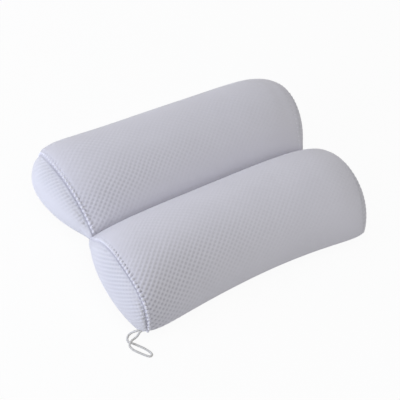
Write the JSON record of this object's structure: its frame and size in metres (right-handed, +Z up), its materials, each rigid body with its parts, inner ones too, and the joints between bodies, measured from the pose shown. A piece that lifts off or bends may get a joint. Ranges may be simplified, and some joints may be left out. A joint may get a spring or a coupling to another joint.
{
  "type": "bath pillow",
  "caption": "Folding bath pillow with half-round mesh rolls side by side on a sewn hinge, swollen end panels, suction cups underneath and a cord loop for hanging.",
  "frame": {"origin": "on the surface under the suction cups, below the middle of the hinge between the rolls", "axes": "+X along the rolls, away from the end with the hanging loop; +Y from the front roll to the back roll; +Z up, away from the surface"},
  "size_m": [0.3586, 0.3394, 0.0828],
  "materials": {
    "mesh_fabric": "open spacer mesh with small diamond cells",
    "end_fabric": "spacer mesh with fine ribs",
    "base_fabric": "fine plain mesh",
    "seam_thread": "overlocked thread",
    "filling": "open foam",
    "cord": "braided round cord",
    "cup_vinyl": "soft glossy vinyl",
    "eyelet_plastic": "satin"
  },
  "bodies": {
    "front_roll": {"front_core": "filling", "front_top_cover": "mesh_fabric", "front_base_panel": "base_fabric", "front_base_seam": "seam_thread", "front_left_end_panel": "end_fabric", "front_left_end_seam": "seam_thread", "front_left_cup_eyelet": "eyelet_plastic", "front_right_end_panel": "end_fabric", "front_right_end_seam": "seam_thread", "front_right_cup_eyelet": "eyelet_plastic", "hinge_web": "base_fabric", "valley_stitching": "seam_thread", "loop_tack": "seam_thread", "hanging_loop": "cord"},
    "back_roll": {"back_core": "filling", "back_top_cover": "mesh_fabric", "back_base_panel": "base_fabric", "back_base_seam": "seam_thread", "back_left_end_panel": "end_fabric", "back_left_end_seam": "seam_thread", "back_left_cup_eyelet": "eyelet_plastic", "back_right_end_panel": "end_fabric", "back_right_end_seam": "seam_thread", "back_right_cup_eyelet": "eyelet_plastic"},
    "front_left_cup": {"front_left_suction_cup": "cup_vinyl"},
    "front_right_cup": {"front_right_suction_cup": "cup_vinyl"},
    "back_left_cup": {"back_left_suction_cup": "cup_vinyl"},
    "back_right_cup": {"back_right_suction_cup": "cup_vinyl"}
  },
  "joints": [
    {"name": "roll_fold", "type": "hinge", "parent": "front_roll", "child": "back_roll", "pos_m": [0, 0, 0.0193], "axis": [-1, 0, 0], "range_deg": [0, 140]},
    {"name": "front_left_cup_swivel", "type": "hinge", "parent": "front_roll", "child": "front_left_cup", "pos_m": [-0.1, -0.082, 0], "axis": [0, 0, 1], "continuous": true},
    {"name": "front_right_cup_swivel", "type": "hinge", "parent": "front_roll", "child": "front_right_cup", "pos_m": [0.1, -0.082, 0], "axis": [0, 0, 1], "continuous": true},
    {"name": "back_left_cup_swivel", "type": "hinge", "parent": "back_roll", "child": "back_left_cup", "pos_m": [-0.1, 0.082, 0], "axis": [0, 0, 1], "continuous": true},
    {"name": "back_right_cup_swivel", "type": "hinge", "parent": "back_roll", "child": "back_right_cup", "pos_m": [0.1, 0.082, 0], "axis": [0, 0, 1], "continuous": true}
  ]
}
